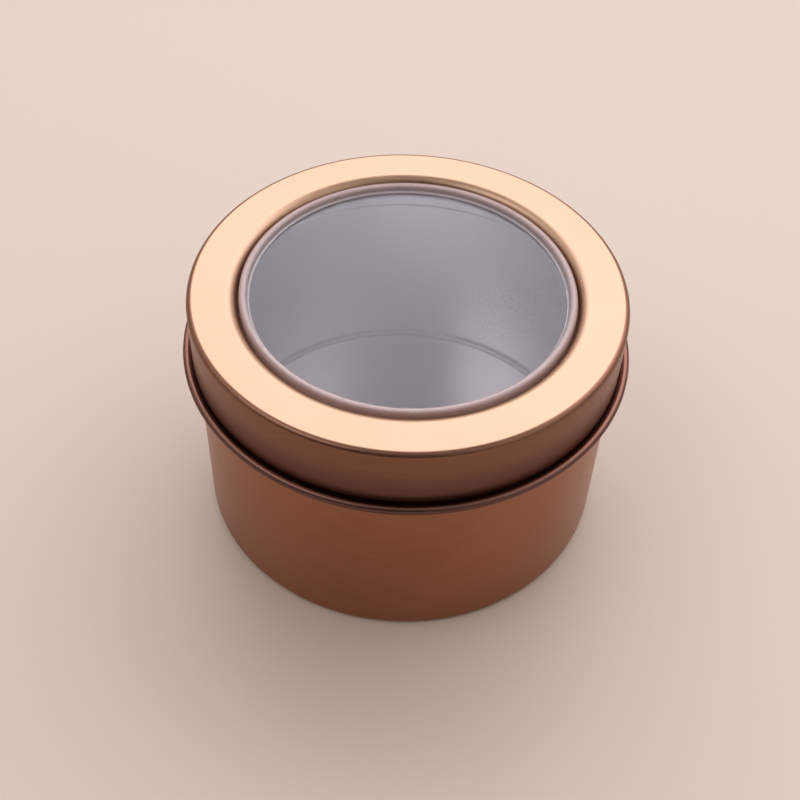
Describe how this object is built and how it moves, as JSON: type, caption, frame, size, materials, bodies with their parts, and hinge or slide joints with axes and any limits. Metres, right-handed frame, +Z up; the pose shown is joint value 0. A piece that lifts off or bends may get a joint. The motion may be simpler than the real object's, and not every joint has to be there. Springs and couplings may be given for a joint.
{
  "type": "round window tin",
  "caption": "Round drawn tinplate tin with a beaded wall and a slip-on lid ring that holds a clear snap-in window, for storing small things in view.",
  "frame": {"origin": "middle of the base, on the surface that the tin stands on", "axes": "+Z up along the tin's axis towards the lid; X and Y lie in the base and are alike, because the tin is round"},
  "size_m": [0.082, 0.082, 0.0496],
  "materials": {
    "copper_gold_tinplate": "tinplate under a clear copper-gold lacquer, fine straight brushed grain, satin gloss; bare satin tinplate on the inside",
    "clear_film": "clear thermoformed plastic film, glossy"
  },
  "bodies": {
    "tin": {"tin_body": "copper_gold_tinplate"},
    "lid": {"lid_ring": "copper_gold_tinplate", "window_disc": "clear_film"}
  },
  "joints": [
    {"name": "lid_lift", "type": "slide", "parent": "tin", "child": "lid", "axis": [0, 0, 1], "range_m": [0, 0.03]}
  ]
}
